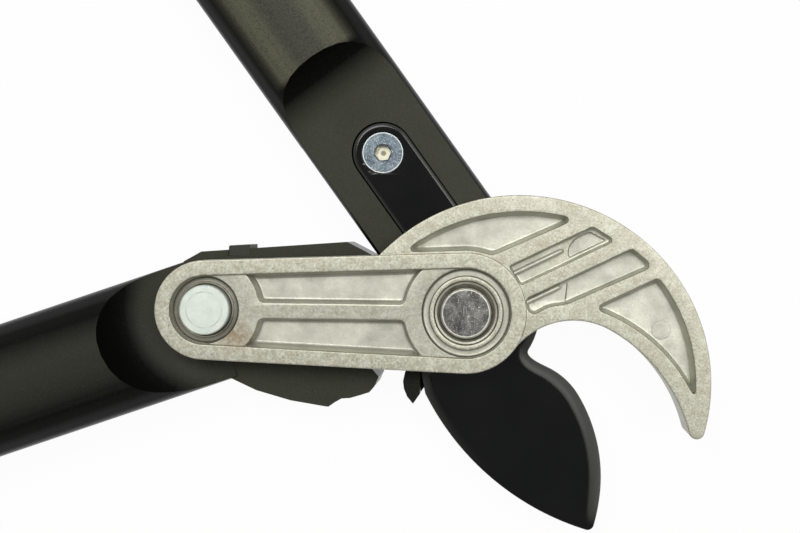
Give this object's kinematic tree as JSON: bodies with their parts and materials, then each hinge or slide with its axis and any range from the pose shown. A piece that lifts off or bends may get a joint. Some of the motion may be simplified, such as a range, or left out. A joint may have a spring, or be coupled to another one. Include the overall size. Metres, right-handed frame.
{
  "type": "anvil lopper",
  "caption": "Geared anvil lopper: cast hook with a concave anvil, curved pivoting blade screwed to one long handle, toothed second handle, soft grips.",
  "frame": {"origin": "on the axis of the main pivot, at the rear face of its riveted head, where the tool lies on a flat surface", "axes": "+Z along both pivot axes, out of the front of the cast hook; -X from the main pivot to the gear pivot; +Y towards the blade handle"},
  "size_m": [0.8179, 0.6276, 0.0329],
  "materials": {
    "casting": "tumbled die casting",
    "pin_steel": "ground steel",
    "pin_zinc": "bright zinc",
    "washer": "plain",
    "blade_coated": "low-friction black coating",
    "handle_plastic": "fine-grained glass-filled moulding",
    "bush": "plain",
    "screw_zinc": "bright zinc",
    "grip_rubber": "soft grip",
    "cap_plastic": "moulded",
    "stop_rubber": "moulded"
  },
  "bodies": {
    "casting": {"hook_anvil": "casting", "main_pivot_pin": "pin_steel", "gear_pivot_pin": "pin_zinc", "main_thrust_washer": "washer", "gear_thrust_washer": "washer", "main_rear_washer": "washer", "gear_rear_washer": "washer"},
    "blade_lever": {"blade": "blade_coated", "blade_handle": "handle_plastic", "main_pivot_bush": "bush", "tang_screw": "screw_zinc", "tang_nut": "screw_zinc", "blade_handle_grip": "grip_rubber", "blade_handle_end_cap": "cap_plastic"},
    "gear_lever": {"gear_handle": "handle_plastic", "gear_pivot_bush": "bush", "closing_stop_pad": "stop_rubber", "gear_handle_grip": "grip_rubber", "gear_handle_end_cap": "cap_plastic"}
  },
  "joints": [
    {"name": "blade_pivot", "type": "hinge", "parent": "casting", "child": "blade_lever", "pos_m": [0, 0, 0.0165], "axis": [0, 0, 1], "range_deg": [-17, 30]},
    {"name": "gear_pivot", "type": "hinge", "parent": "casting", "child": "gear_lever", "pos_m": [-0.07, 0, 0.0165], "axis": [0, 0, 1], "range_deg": [-15, 8.5]}
  ],
  "couplings": [
    {"joint": "gear_pivot", "follows": "blade_pivot", "ratio": -0.5}
  ]
}
